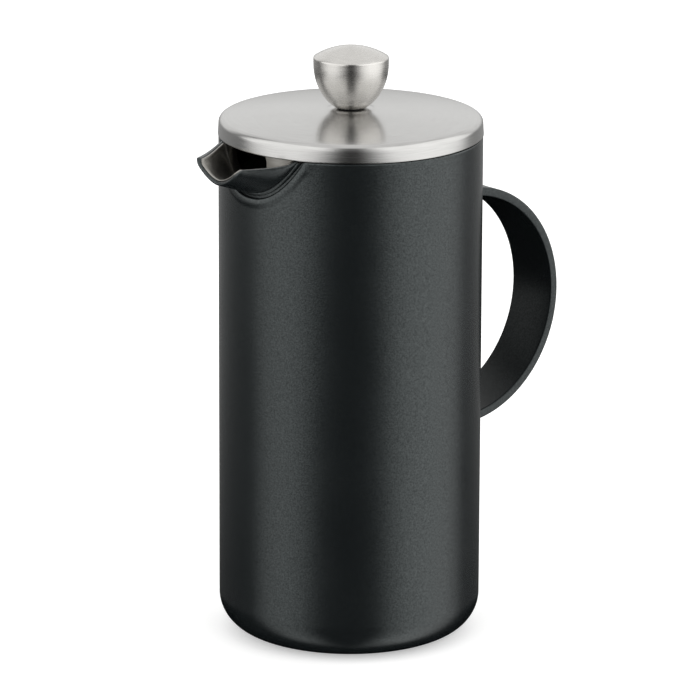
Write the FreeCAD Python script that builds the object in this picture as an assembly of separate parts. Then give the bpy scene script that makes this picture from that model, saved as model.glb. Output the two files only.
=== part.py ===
"""A one-litre french press with a double steel wall, in millimetres.

+Z is up, the origin is the centre of the base on the surface it stands on, the spout points
along -X and the handle along +X. It stands with its plunger pressed down and its lid on.
"""

import FreeCAD
import Part

import os
from math import asin, cos, pi, radians, sin, sqrt, tan

OUT = "parts"

# Driving dimensions
BODY_R = 52.0  # outside of the pot
RIM_Z = 201.5  # top of the pot's rim
SHEET = 0.8  # every pressed steel wall
RUN_GAP = 0.05  # between a shaft and its guide, on the radius
REST_GAP = 0.3  # under a piece that is set down on another

# Pot
BASE_CORNER_R = 14.5
FOOT_INNER_R = 34.0
LINER_R = 47.0  # inside of the pot, where the filter slides
LINER_FLOOR_Z = 9.0
LINER_CORNER_R = 9.0
LINER_LIP_R = 2.0
CAP_RISE = 2.4  # the base cap's dish above the surface
CAP_RIM_WIDTH = 2.0
CAP_SLOPE_WIDTH = 3.0
VENT_R = 2.0
VENT_HEAD_R = 3.5
VENT_HEAD_H = 0.8

# Spout: a trough between two sections across X, one inside the pot and one past the lip
SPOUT_LIP_X = 67.9  # the lip's corners, from the axis
SPOUT_LIP_HALF = 13.8
SPOUT_LIP_TOP_Z = 199.1
SPOUT_LIP_BOTTOM_Z = 191.1
SPOUT_LIP_RAKE = radians(2.0)
SPOUT_ROOT_ANGLE = radians(29.0)  # where the trough's edge meets the rim, either side
SPOUT_ROOT_BOTTOM_Z = 184.0
SPOUT_NEAR_X, SPOUT_FAR_X = 36.0, 72.0
SPOUT_NEAR_POWER, SPOUT_FAR_POWER = 3.2, 2.0  # higher is squarer
SPOUT_SKIN = 1.4  # the coated outer skin
SPOUT_FOOT_Z = 160.0  # below the whole trough
SPOUT_CLEAR_Z = 225.0  # above everything that the trough's opening has to cut

# Handle: half a ring of flat strip, centred on the wall
HANDLE_Z = 125.0
HANDLE_INNER_R = 45.0
HANDLE_THICK = 3.6
HANDLE_WIDTH = 23.0
HANDLE_EDGE_R = 0.7

# Lid
LID_R = 52.2
LID_BOTTOM_Z = RIM_Z + REST_GAP
LID_CROWN_Z = 211.9
LID_DOME_R = 428.0
LID_EDGE_R = 2.4
BOSS_Z = 212.2
BOSS_R = 8.6
BOSS_STEP = 0.8
COLLAR_R = 46.3
COLLAR_BOTTOM_Z = 186.0
COLLAR_BEND_R = 1.6
COLLAR_FLANGE_Z = 202.4
WINDOW_BOTTOM_Z, WINDOW_TOP_Z = 188.5, 200.8
WINDOW_WIDTH_DEG = 40.0
WINDOW_TURN_DEG = -15.0  # the lid stands this far round from the spout

# Guide bush, which the rod slides in and the lid turns on
ROD_R = 2.5
BUSH_R = 4.5
BUSH_FLANGE_R = 5.1
BUSH_FLANGE_H = 0.4
BUSH_BOTTOM_Z = 197.0
RETAINER_R = 8.5
RETAINER_H = 3.5

# Knob
KNOB_BASE_Z = 212.5
KNOB_BASE_R = 6.0
KNOB_RECESS_R = 5.4  # clears the bush's flange
KNOB_RECESS_Z = 213.0
KNOB_R = 14.8
KNOB_EQUATOR_Z = 230.0
KNOB_EDGE_Z = 232.5
KNOB_TOP_Z = 236.9
KNOB_BORE_TOP_Z = 224.0

# Filter, bottom to top
STUD_R = 2.0
STUD_HOLE_R = 2.1
CROSS_PLATE_Z = 30.0
CROSS_PLATE_R = 45.0
CROSS_PLATE_T = 1.0
CROSS_ARMS = 8
CROSS_SLOT_IN_R, CROSS_SLOT_OUT_R = 11.0, 37.0
CROSS_ARM_WIDTH = 6.0
HUB_NUT_AF, HUB_NUT_H = 9.0, 5.0
MESH_T = 0.4
MESH_R = 46.5
MESH_RIM_H = 4.0
EYELET_R = 5.0
SPRING_PLATE_R = 45.6
SPRING_LIP_R = 43.4
SPRING_LIP_H = 1.6
COIL_TUBE_R = 1.15
HOLE_R = 2.1
HOLE_RINGS = ((13.0, 10), (22.5, 18), (32.0, 26))
ROD_NUT_AF, ROD_NUT_H = 8.0, 4.0

MESH_Z = CROSS_PLATE_Z + CROSS_PLATE_T
SPRING_PLATE_Z = MESH_Z + MESH_T
SPRING_TOP_Z = SPRING_PLATE_Z + SHEET
ROD_FOOT_Z = SPRING_TOP_Z + REST_GAP
AXIS_Z = FreeCAD.Vector(0, 0, 1)
CENTRE = FreeCAD.Vector(0, 0, 0)


def at(r, z):
    """A point of an outline in the XZ plane, r from the axis."""
    return FreeCAD.Vector(r, 0, z)


def on_arc(centre_r, centre_z, radius, angle):
    """A point on an arc. The angle runs from straight up, outwards."""
    return centre_r + radius * sin(angle), centre_z + radius * cos(angle)


def turned(start, *steps):
    """The solid that a closed outline sweeps about Z. A step is an end, or a point on an arc and its end."""
    edges, here = [], at(*start)
    for step in (*steps, start):
        if isinstance(step[0], tuple):
            middle, end = at(*step[0]), at(*step[1])
            edges.append(Part.Arc(here, middle, end).toShape())
        else:
            end = at(*step)
            if end.distanceToPoint(here) < 1e-7:
                continue
            edges.append(Part.makeLine(here, end))
        here = end
    return Part.Face(Part.Wire(edges)).revolve(CENTRE, AXIS_Z, 360)


def rod_of(radius, bottom, top):
    return Part.makeCylinder(radius, top - bottom, at(0, bottom))


def ring_of(inner, outer, bottom, top):
    return rod_of(outer, bottom, top).cut(rod_of(inner, bottom, top))


def hexagon(across_flats, bottom, height, bore):
    """A hexagon nut with a plain bore and a chamfered top and bottom."""
    corner = across_flats / 2 / cos(pi / 6)
    turns = [k * pi / 3 for k in range(7)]
    points = [FreeCAD.Vector(corner * cos(turn), corner * sin(turn), bottom) for turn in turns]
    prism = Part.Face(Part.makePolygon(points)).extrude(AXIS_Z * height)
    bevel = corner - across_flats / 2 * 0.96
    top = bottom + height
    rounded = turned((0, bottom), (corner - bevel, bottom), (corner, bottom + bevel * 0.6),
                     (corner, top - bevel * 0.6), (corner - bevel, top), (0, top))
    return prism.common(rounded).cut(rod_of(bore, bottom, bottom + height))


def save(shape, node):
    """Writes one node. Every node is one or more valid closed solids."""
    shape = shape.removeSplitter()
    if not shape.isValid() or not shape.Solids:
        raise ValueError(f"{node} is not a valid solid")
    shape.exportStep(os.path.join(OUT, f"{node}.step"))
    print(f"{node}: {len(shape.Solids)} solid, {shape.Volume:.0f} mm3")


# Spout


def spout_section(x, inset):
    """The trough's outline across X, as a wire: a rounded bottom, and straight sides up past the lid."""
    root_x = BODY_R * cos(SPOUT_ROOT_ANGLE)
    root_half = BODY_R * sin(SPOUT_ROOT_ANGLE)
    out = (x - root_x) / (SPOUT_LIP_X - root_x)
    half = root_half + (SPOUT_LIP_HALF - root_half) * out - inset
    top = RIM_Z + (SPOUT_LIP_TOP_Z - RIM_Z) * out
    rise = (SPOUT_LIP_BOTTOM_Z - SPOUT_ROOT_BOTTOM_Z) / (SPOUT_LIP_X - BODY_R)
    bottom = SPOUT_ROOT_BOTTOM_Z + rise * (x - BODY_R) + inset
    share = (x - SPOUT_NEAR_X) / (SPOUT_FAR_X - SPOUT_NEAR_X)
    power = SPOUT_NEAR_POWER + (SPOUT_FAR_POWER - SPOUT_NEAR_POWER) * share
    count = 16
    steps = [k / (count / 2) - 1 for k in range(count + 1)]
    points = [FreeCAD.Vector(-x, half * u, bottom + (top - bottom) * abs(u) ** power) for u in steps]
    curve = Part.BSplineCurve()
    curve.interpolate(points)
    high_left = FreeCAD.Vector(-x, -half, SPOUT_CLEAR_Z)
    high_right = FreeCAD.Vector(-x, half, SPOUT_CLEAR_Z)
    return Part.Wire([curve.toShape(), Part.makeLine(points[-1], high_right),
                      Part.makeLine(high_right, high_left), Part.makeLine(high_left, points[0])])


def spout_trough(inset):
    """Everything inside the trough's skin at that depth, open upwards."""
    sections = [spout_section(SPOUT_NEAR_X, inset), spout_section(SPOUT_FAR_X, inset)]
    return Part.makeLoft(sections, True, True)


def spout_trim():
    """What is left of a trough below its top edges and inside its lip."""
    root_x = BODY_R * cos(SPOUT_ROOT_ANGLE)
    lip_foot_x = SPOUT_LIP_X - tan(SPOUT_LIP_RAKE) * (SPOUT_LIP_TOP_Z - SPOUT_FOOT_Z)
    corners = [(0, SPOUT_FOOT_Z), (lip_foot_x, SPOUT_FOOT_Z), (SPOUT_LIP_X, SPOUT_LIP_TOP_Z), (root_x, RIM_Z),
               (0, RIM_Z)]
    points = [FreeCAD.Vector(-x, -BODY_R, z) for x, z in (*corners, corners[0])]
    return Part.Face(Part.makePolygon(points)).extrude(FreeCAD.Vector(0, 2 * BODY_R, 0))


def spout_skin(outside, inside, from_r):
    """One skin of the trough, from a radius inside the pot out to the lip."""
    skin = spout_trough(outside).cut(spout_trough(inside)).common(spout_trim())
    return skin.cut(rod_of(from_r, 0, SPOUT_CLEAR_Z))


def spout_shell():
    return spout_skin(0.0, SPOUT_SKIN, BODY_R - SHEET)


def spout_liner():
    return spout_skin(SPOUT_SKIN, SPOUT_SKIN + SHEET, LINER_R)


# Pot


def outer_shell():
    """The outer wall: a tube drawn in to a rounded base with a flat ring to stand on."""
    corner_r = BODY_R - BASE_CORNER_R
    middle = 3 * pi / 4
    wall = turned(
        (BODY_R - SHEET, RIM_Z), (BODY_R, RIM_Z), (BODY_R, BASE_CORNER_R),
        (on_arc(corner_r, BASE_CORNER_R, BASE_CORNER_R, middle), (corner_r, 0.0)),
        (FOOT_INNER_R, 0.0), (FOOT_INNER_R, SHEET), (corner_r, SHEET),
        (on_arc(corner_r, BASE_CORNER_R, BASE_CORNER_R - SHEET, middle), (BODY_R - SHEET, BASE_CORNER_R)),
    )
    return wall.cut(spout_trough(0.0))


def base_cap():
    """The pressed disc that closes the outer shell, dished so that only the ring round it stands."""
    flat_r = FOOT_INNER_R - CAP_RIM_WIDTH
    dish_r = flat_r - CAP_SLOPE_WIDTH
    disc = turned(
        (0, CAP_RISE), (dish_r, CAP_RISE), (flat_r, 0.1), (FOOT_INNER_R, 0.1), (FOOT_INNER_R, SHEET),
        (flat_r + 0.4, SHEET), (dish_r + 0.4, CAP_RISE + SHEET), (0, CAP_RISE + SHEET),
    )
    return disc.cut(rod_of(VENT_R, 0, CAP_RISE + 2 * SHEET))


def vent_plug():
    """The plug in the vent that lets air out of the double wall while it is welded and coated."""
    head = rod_of(VENT_HEAD_R, CAP_RISE - VENT_HEAD_H, CAP_RISE)
    return head.fuse(rod_of(VENT_R, CAP_RISE - VENT_HEAD_H, CAP_RISE + SHEET + VENT_HEAD_H))


def inner_liner():
    """The vessel that holds the coffee. Its lip turns out to meet the outer shell at the rim."""
    corner_r = LINER_R - LINER_CORNER_R
    corner_z = LINER_FLOOR_Z + LINER_CORNER_R
    lip_r, lip_z = LINER_R + LINER_LIP_R, RIM_Z - LINER_LIP_R
    low, high = 3 * pi / 4, -pi / 4
    under_r = LINER_LIP_R - SHEET
    vessel = turned(
        (0, LINER_FLOOR_Z), (corner_r, LINER_FLOOR_Z),
        (on_arc(corner_r, corner_z, LINER_CORNER_R, low), (LINER_R, corner_z)),
        (LINER_R, lip_z), (on_arc(lip_r, lip_z, LINER_LIP_R, high), (lip_r, RIM_Z)),
        (BODY_R - SHEET, RIM_Z), (BODY_R - SHEET, RIM_Z - SHEET), (lip_r, RIM_Z - SHEET),
        (on_arc(lip_r, lip_z, under_r, high), (LINER_R + SHEET, lip_z)),
        (LINER_R + SHEET, corner_z),
        (on_arc(corner_r, corner_z, LINER_CORNER_R + SHEET, low), (corner_r, LINER_FLOOR_Z - SHEET)),
        (0, LINER_FLOOR_Z - SHEET),
    )
    return vessel.cut(spout_trough(SPOUT_SKIN))


def handle():
    """A flat strip rolled to half a ring and welded edge-on to the wall at both ends."""
    middle = FreeCAD.Vector(BODY_R, HANDLE_WIDTH / 2, HANDLE_Z)
    across = FreeCAD.Vector(0, -1, 0)
    outer = Part.makeCylinder(HANDLE_INNER_R + HANDLE_THICK, HANDLE_WIDTH, middle, across)
    strip = outer.cut(Part.makeCylinder(HANDLE_INNER_R, HANDLE_WIDTH, middle, across))
    long_edges = [e for e in strip.Edges if isinstance(e.Curve, Part.Circle)]
    return strip.makeFillet(HANDLE_EDGE_R, long_edges).cut(
        rod_of(BODY_R, HANDLE_Z - 2 * HANDLE_INNER_R, HANDLE_Z + 2 * HANDLE_INNER_R)
    ).common(Part.makeBox(3 * BODY_R, 2 * BODY_R, RIM_Z, FreeCAD.Vector(BODY_R / 2, -BODY_R, 0)))


# Lid


def lid_curve(depth):
    """Points of the lid's profile that far under its outer surface."""
    dome_z = LID_CROWN_Z - LID_DOME_R
    start = asin((BOSS_R + BOSS_STEP) / LID_DOME_R)
    join = asin((LID_R - LID_EDGE_R) / (LID_DOME_R - LID_EDGE_R))
    edge = on_arc(0, dome_z, LID_DOME_R - LID_EDGE_R, join)
    return {
        "step": on_arc(0, dome_z, LID_DOME_R - depth, start),
        "dome": on_arc(0, dome_z, LID_DOME_R - depth, (start + join) / 2),
        "join": on_arc(0, dome_z, LID_DOME_R - depth, join),
        "edge": on_arc(*edge, LID_EDGE_R - depth, (join + pi / 2) / 2),
        "crease": (LID_R - depth, edge[1]),
        "skirt": (LID_R - depth, LID_BOTTOM_Z),
    }


def lid_cap():
    """The pressed lid: a low dome with a flat boss in the middle, a rounded edge and a short skirt."""
    top, under = lid_curve(0.0), lid_curve(SHEET)
    return turned(
        (BUSH_R + RUN_GAP, BOSS_Z), (BOSS_R, BOSS_Z), top["step"], (top["dome"], top["join"]),
        (top["edge"], top["crease"]), top["skirt"], under["skirt"], under["crease"],
        (under["edge"], under["join"]), (under["dome"], under["step"]),
        (BOSS_R, BOSS_Z - SHEET), (BUSH_R + RUN_GAP, BOSS_Z - SHEET),
    )


def lid_collar():
    """The flanged ring under the lid that centres it in the pot, with a window to pour through."""
    bend_r, bend_z = COLLAR_R + COLLAR_BEND_R - SHEET, COLLAR_FLANGE_Z - COLLAR_BEND_R + SHEET
    middle, flange_r = -pi / 4, LID_R - SHEET
    wall = turned(
        (COLLAR_R - SHEET, COLLAR_BOTTOM_Z), (COLLAR_R, COLLAR_BOTTOM_Z), (COLLAR_R, bend_z),
        (on_arc(bend_r, bend_z, COLLAR_BEND_R - SHEET, middle), (bend_r, COLLAR_FLANGE_Z)),
        (flange_r, COLLAR_FLANGE_Z), (flange_r, COLLAR_FLANGE_Z + SHEET), (bend_r, COLLAR_FLANGE_Z + SHEET),
        (on_arc(bend_r, bend_z, COLLAR_BEND_R, middle), (COLLAR_R - SHEET, bend_z)),
    )
    height = WINDOW_TOP_Z - WINDOW_BOTTOM_Z
    sector = Part.makeCylinder(COLLAR_R + 1, height, at(0, WINDOW_BOTTOM_Z), AXIS_Z, WINDOW_WIDTH_DEG)
    sector.rotate(CENTRE, AXIS_Z, 180 - WINDOW_WIDTH_DEG / 2 + WINDOW_TURN_DEG)
    return wall.cut(sector)


# Guide bush


def rod_bush():
    """The flanged plastic bush in the lid's middle. The rod slides in it and the lid turns on it."""
    flange_z = BOSS_Z + RUN_GAP
    top_z = flange_z + BUSH_FLANGE_H
    body = rod_of(BUSH_FLANGE_R, flange_z, top_z).fuse(rod_of(BUSH_R, BUSH_BOTTOM_Z, flange_z))
    return body.cut(rod_of(ROD_R + RUN_GAP, BUSH_BOTTOM_Z, top_z))


def bush_retainer():
    """The ring nut that holds the bush in the lid from below."""
    top = BOSS_Z - SHEET - RUN_GAP
    ring = ring_of(BUSH_R, RETAINER_R, top - RETAINER_H, top)
    notches = 6
    for k in range(notches):
        notch = Part.makeBox(2.0, 2.0, RETAINER_H, FreeCAD.Vector(RETAINER_R - 1.0, -1.0, top - RETAINER_H))
        notch.rotate(CENTRE, AXIS_Z, k * 360 / notches)
        ring = ring.cut(notch)
    return ring


# Plunger


def knob():
    """The solid turned knob: a bowl that narrows to its base, a short straight edge and a low dome."""
    depth = (KNOB_EQUATOR_Z - KNOB_BASE_Z) / sqrt(1 - (KNOB_BASE_R / KNOB_R) ** 2)
    bowl = Part.Ellipse(at(0, KNOB_EQUATOR_Z + depth), at(KNOB_R, KNOB_EQUATOR_Z), at(0, KNOB_EQUATOR_Z))
    base, side = at(KNOB_BASE_R, KNOB_BASE_Z), at(KNOB_R, KNOB_EQUATOR_Z)
    ends = sorted((bowl.parameter(base), bowl.parameter(side)))
    edge, top = at(KNOB_R, KNOB_EDGE_Z), at(0, KNOB_TOP_Z)
    rise = KNOB_TOP_Z - KNOB_EDGE_Z
    dome_r = (KNOB_R**2 + rise**2) / (2 * rise)
    half_way = asin(KNOB_R / dome_r) / 2
    on_dome = at(*on_arc(0, KNOB_TOP_Z - dome_r, dome_r, half_way))
    edges = [
        Part.makeLine(at(0, KNOB_BASE_Z), base),
        Part.ArcOfEllipse(bowl, *ends).toShape(),
        Part.makeLine(side, edge),
        Part.Arc(edge, on_dome, top).toShape(),
        Part.makeLine(top, at(0, KNOB_BASE_Z)),
    ]
    solid = Part.Face(Part.Wire(Part.__sortEdges__(edges))).revolve(CENTRE, AXIS_Z, 360)
    solid = solid.cut(rod_of(KNOB_RECESS_R, KNOB_BASE_Z, KNOB_RECESS_Z))
    return solid.cut(rod_of(ROD_R, KNOB_BASE_Z, KNOB_BORE_TOP_Z))


def rod():
    """The plunger's rod, with a thinner stud below that carries the filter."""
    stud = rod_of(STUD_R, CROSS_PLATE_Z - HUB_NUT_H, ROD_FOOT_Z)
    return stud.fuse(rod_of(ROD_R, ROD_FOOT_Z, KNOB_BORE_TOP_Z))


def rod_nut():
    """The hexagon fixed at the rod's foot, which the filter is drawn up against."""
    return hexagon(ROD_NUT_AF, ROD_FOOT_Z, ROD_NUT_H, ROD_R)


def hub_nut():
    """The threaded boss under the cross plate, which the stud turns in."""
    return hexagon(HUB_NUT_AF, CROSS_PLATE_Z - HUB_NUT_H, HUB_NUT_H, STUD_R + RUN_GAP)


def spring_plate():
    """The perforated plate whose rim carries the coil."""
    plate = ring_of(STUD_HOLE_R, SPRING_PLATE_R, SPRING_PLATE_Z, SPRING_TOP_Z)
    lip = ring_of(SPRING_LIP_R - SHEET, SPRING_LIP_R, SPRING_TOP_Z, SPRING_TOP_Z + SPRING_LIP_H)
    holes = []
    for ring_r, count in HOLE_RINGS:
        for k in range(count):
            angle = 2 * pi * k / count
            place = FreeCAD.Vector(ring_r * cos(angle), ring_r * sin(angle), SPRING_PLATE_Z)
            holes.append(Part.makeCylinder(HOLE_R, SHEET, place))
    return plate.fuse(lip).cut(Part.makeCompound(holes))


def edge_coil():
    """The outside of the fine coil wound round the plate's rim, which presses the mesh to the wall."""
    return Part.makeTorus(SPRING_LIP_R + COIL_TUBE_R, COIL_TUBE_R, at(0, SPRING_TOP_Z + COIL_TUBE_R))


def filter_mesh():
    """The woven disc with its rim turned up round the coil."""
    disc = ring_of(EYELET_R, MESH_R, MESH_Z, MESH_Z + MESH_T)
    rim = ring_of(MESH_R - MESH_T, MESH_R, MESH_Z + MESH_T, MESH_Z + MESH_RIM_H)
    return disc.fuse(rim)


def mesh_eyelet():
    """The pressed ring that binds the mesh round its middle hole."""
    return ring_of(STUD_HOLE_R, EYELET_R, MESH_Z, MESH_Z + MESH_T)


def cross_plate():
    """The bottom plate: a disc with a wheel of openings between its arms."""
    disc = ring_of(STUD_HOLE_R, CROSS_PLATE_R, CROSS_PLATE_Z, MESH_Z)
    wheel = ring_of(CROSS_SLOT_IN_R, CROSS_SLOT_OUT_R, CROSS_PLATE_Z, MESH_Z)
    for k in range(CROSS_ARMS // 2):
        corner = FreeCAD.Vector(-CROSS_PLATE_R, -CROSS_ARM_WIDTH / 2, CROSS_PLATE_Z)
        arm = Part.makeBox(2 * CROSS_PLATE_R, CROSS_ARM_WIDTH, CROSS_PLATE_T, corner)
        arm.rotate(CENTRE, AXIS_Z, k * 360 / CROSS_ARMS)
        wheel = wheel.cut(arm)
    return disc.cut(wheel)


os.makedirs(OUT, exist_ok=True)
PIECES = (
    outer_shell, base_cap, vent_plug, inner_liner, spout_shell, spout_liner, handle,
    lid_cap, lid_collar, rod_bush, bush_retainer,
    knob, rod, rod_nut, hub_nut, spring_plate, edge_coil, filter_mesh, mesh_eyelet, cross_plate,
)
for piece in PIECES:
    save(piece(), piece.__name__)
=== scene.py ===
"""The looks of a double-walled steel french press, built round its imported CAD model.

Metres, +Z up, the plunger's axis on Z, the spout towards -X and the handle towards +X.
"""

from math import asin, atan2, cos, pi, radians, sin, sqrt

import bmesh
import bpy
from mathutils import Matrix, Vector
from mathutils.geometry import delaunay_2d_cdt


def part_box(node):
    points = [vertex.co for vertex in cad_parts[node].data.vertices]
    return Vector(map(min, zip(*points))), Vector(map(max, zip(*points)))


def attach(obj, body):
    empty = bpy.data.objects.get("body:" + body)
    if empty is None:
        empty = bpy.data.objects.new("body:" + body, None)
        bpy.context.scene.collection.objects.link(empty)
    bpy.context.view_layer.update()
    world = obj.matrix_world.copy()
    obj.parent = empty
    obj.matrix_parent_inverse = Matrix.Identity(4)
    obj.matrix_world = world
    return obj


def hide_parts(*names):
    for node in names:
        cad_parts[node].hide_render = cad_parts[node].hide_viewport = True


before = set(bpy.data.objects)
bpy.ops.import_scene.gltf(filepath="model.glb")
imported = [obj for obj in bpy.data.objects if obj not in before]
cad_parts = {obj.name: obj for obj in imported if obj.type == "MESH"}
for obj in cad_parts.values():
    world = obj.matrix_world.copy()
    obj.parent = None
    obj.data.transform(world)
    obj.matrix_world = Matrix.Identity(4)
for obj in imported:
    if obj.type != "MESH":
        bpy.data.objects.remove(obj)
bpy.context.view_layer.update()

MM = 0.001


# The studio: a pale floor in a quiet room. The room is bright overhead and behind, dim in front and low
# down, and has a tall soft light on either side of the camera with a dark gap between them.

CAMERA_TURN = radians(-40.4)
CAMERA_TILT = radians(15.40)
CAMERA_ROLL = 0.0039
CAMERA_FAR = 2.1573
CAMERA_LENS = 279.77
AIM = Vector((0, 0, 0.11367))


def towards(turn, distance, height):
    """A point at that height, turned from straight in front (-Y) towards +X."""
    return Vector((distance * sin(turn), -distance * cos(turn), height))


def link(name, data):
    """A new object in the scene."""
    made = bpy.data.objects.new(name, data)
    bpy.context.scene.collection.objects.link(made)
    return made


def look_at(thing, place, target, roll=0.0):
    """Puts a camera or light at a place, facing a target."""
    turn = (target - place).to_track_quat("-Z", "Y").to_matrix().to_4x4()
    thing.matrix_world = turn
    thing.location = place
    thing.rotation_mode = "XYZ"
    thing.rotation_euler.rotate_axis("Z", roll)


lens = bpy.data.cameras.new("camera")
lens.lens = CAMERA_LENS
lens.clip_end = 30.0
camera = link("camera", lens)
back = CAMERA_FAR * cos(CAMERA_TILT)
look_at(camera, towards(CAMERA_TURN, back, AIM.z + CAMERA_FAR * sin(CAMERA_TILT)), AIM, CAMERA_ROLL)
bpy.context.scene.camera = camera
bpy.context.scene.view_settings.view_transform = "Standard"


# Heights are the upward part of a direction, from -1 to 1, and turns are cosines from straight in front.
# A pair of them is where a change in the light begins and where it ends.
LOW_Z, HIGH_Z = -0.12, 0.22
LOW_FRONT, LOW_BACK = 0.02, 0.34
LOW_TURN, LOW_FADE = (-0.9, 0.6), (-0.33, -0.22)
HIGH_FRONT, HIGH_LIGHT = 0.12, 0.95
HIGH_TURN, OVERHEAD = (-0.80, -0.30), (0.68, 0.88)

# The soft lights: the turn to the middle, then from there to the end of full light and to the edge, all in
# degrees, and the strength. They narrow below the horizon and widen above it, between two heights.
LEFT_BOX = (-61, 12, 50, 1.40)
RIGHT_BOX = (72, 22, 62, 1.48)
BOX_TOP, BOX_FOOT = (0.75, 0.95), (-1.05, -0.85)
BOX_SPREAD = (-0.30, -0.06, -0.16, 0.12)


def room_light():
    """A world that is dim below the horizon, pale above it, and has two tall soft lights in front."""
    world = bpy.data.worlds.new("room")
    world.use_nodes = True
    nodes, links = world.node_tree.nodes, world.node_tree.links

    def put(entry, value):
        """Sets an input to a number, or wires an output into it."""
        if isinstance(value, float):
            entry.default_value = value
        else:
            links.new(value, entry)

    def step(value, low, high, result_low, result_high):
        """Runs softly from one result to the other as the value goes from low to high."""
        span = nodes.new("ShaderNodeMapRange")
        span.interpolation_type = "SMOOTHSTEP"
        entries = ("Value", "From Min", "From Max", "To Min", "To Max")
        for name, number in zip(entries, (value, low, high, result_low, result_high)):
            put(span.inputs[name], number)
        return span.outputs["Result"]

    def combine(operation, first, second):
        """The result of a number node."""
        both = nodes.new("ShaderNodeMath")
        both.operation = operation
        put(both.inputs[0], first)
        put(both.inputs[1], second)
        return both.outputs["Value"]

    way = nodes.new("ShaderNodeTexCoord").outputs["Generated"]
    parts = nodes.new("ShaderNodeSeparateXYZ")
    links.new(way, parts.inputs[0])
    height = parts.outputs["Z"]
    level = nodes.new("ShaderNodeVectorMath")
    level.operation = "MULTIPLY"
    level.inputs[1].default_value = (1, 1, 0)
    links.new(way, level.inputs[0])
    compass = nodes.new("ShaderNodeVectorMath")
    compass.operation = "NORMALIZE"
    links.new(level.outputs["Vector"], compass.inputs[0])

    def facing(turn):
        """The cosine of the angle from that turn, on the compass."""
        nearness = nodes.new("ShaderNodeVectorMath")
        nearness.operation = "DOT_PRODUCT"
        nearness.inputs[1].default_value = towards(CAMERA_TURN + turn, 1.0, 0.0)
        links.new(compass.outputs["Vector"], nearness.inputs[0])
        return nearness.outputs["Value"]

    widening = step(height, *BOX_SPREAD)
    low_light = step(facing(0.0), *LOW_TURN, LOW_BACK, LOW_FRONT)
    low_light = combine("MULTIPLY", low_light, step(height, *LOW_FADE, 0.0, 1.0))
    high_light = combine("MAXIMUM", step(facing(0.0), *HIGH_TURN, HIGH_LIGHT, HIGH_FRONT),
                         step(height, *OVERHEAD, 0.0, HIGH_LIGHT))
    total = step(height, LOW_Z, HIGH_Z, low_light, high_light)
    upright = combine("MULTIPLY", step(height, *BOX_TOP, 1.0, 0.0), step(height, *BOX_FOOT, 0.0, 1.0))
    for turn, near, far, strength in (LEFT_BOX, RIGHT_BOX):
        nearness = combine("ADD", facing(radians(turn)), widening)
        lobe = step(nearness, cos(radians(far)), cos(radians(near)), 0.0, strength)
        total = combine("MAXIMUM", total, combine("MULTIPLY", lobe, upright))
    links.new(total, nodes["Background"].inputs["Strength"])
    nodes["Background"].inputs["Color"].default_value = (1.0, 1.0, 0.995, 1)
    bpy.context.scene.world = world


room_light()


def node_of(material, kind, **sockets):
    """Adds a node and sets its plain inputs by name."""
    made = material.node_tree.nodes.new(kind)
    for socket, value in sockets.items():
        made.inputs[socket.replace("_", " ")].default_value = value
    return made


def wire(material, output, entry):
    """Joins a node's output to an input."""
    material.node_tree.links.new(output, entry)


def new_material(name, metallic, roughness, ior=1.5):
    """A material with its shader, and the object's own coordinates in metres."""
    material = bpy.data.materials.new(name)
    material.use_nodes = True
    shader = material.node_tree.nodes["Principled BSDF"]
    shader.inputs["Metallic"].default_value = metallic
    shader.inputs["Roughness"].default_value = roughness
    shader.inputs["IOR"].default_value = ior
    place = material.node_tree.nodes.new("ShaderNodeTexCoord").outputs["Object"]
    return material, shader, place


def blend_of(material, factor, low, high):
    """A colour that runs between two colours with the factor."""
    ramp = material.node_tree.nodes.new("ShaderNodeValToRGB")
    ramp.color_ramp.elements[0].position = 0.25
    ramp.color_ramp.elements[1].position = 0.75
    ramp.color_ramp.elements[0].color = (*low, 1)
    ramp.color_ramp.elements[1].color = (*high, 1)
    wire(material, factor, ramp.inputs["Fac"])
    return ramp.outputs["Color"]


def range_of(material, factor, low, high):
    """A number that runs between two numbers with the factor."""
    span = node_of(material, "ShaderNodeMapRange", From_Min=0.25, From_Max=0.75, To_Min=low, To_Max=high)
    wire(material, factor, span.inputs["Value"])
    return span.outputs["Result"]


def noise_of(material, vector, scale, detail=2.0):
    """A noise pattern, with that many bumps to the metre."""
    noise = node_of(material, "ShaderNodeTexNoise", Scale=scale, Detail=detail)
    wire(material, vector, noise.inputs["Vector"])
    return noise.outputs["Fac"]


def raise_by(material, shader, height, depth, strength=1.0):
    """Bumps the surface by a height pattern of that depth in metres."""
    bump = node_of(material, "ShaderNodeBump", Strength=strength, Distance=depth)
    wire(material, height, bump.inputs["Height"])
    wire(material, bump.outputs["Normal"], shader.inputs["Normal"])


FLOOR_HALF = 9.0
FLOOR_GLOW = 0.40


def floor_paint():
    """Pale matt paint, faintly cloudy, that glows a little so that the floor comes out white."""
    material, shader, place = new_material("pale_floor", 0.0, 0.75)
    paint = blend_of(material, noise_of(material, place, 3.0), (0.93, 0.93, 0.93), (0.95, 0.95, 0.95))
    wire(material, paint, shader.inputs["Base Color"])
    shader.inputs["Emission Color"].default_value = (1, 1, 1, 1)
    shader.inputs["Emission Strength"].default_value = FLOOR_GLOW
    return material


floor_mesh = bpy.data.meshes.new("floor")
floor_corners = [(x * FLOOR_HALF, y * FLOOR_HALF, 0) for x, y in ((-1, -1), (1, -1), (1, 1), (-1, 1))]
floor_mesh.from_pydata(floor_corners, [], [(0, 1, 2, 3)])
floor_mesh.materials.append(floor_paint())
floor = link("floor", floor_mesh)
floor.visible_glossy = False
floor.visible_shadow = False


# The outer shell: deep-drawn steel, a straight tube with a rounded base and a flat ring to stand on,
# powder-coated satin black. A cut-out in its rim takes the spout, with a softly raised border.

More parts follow.
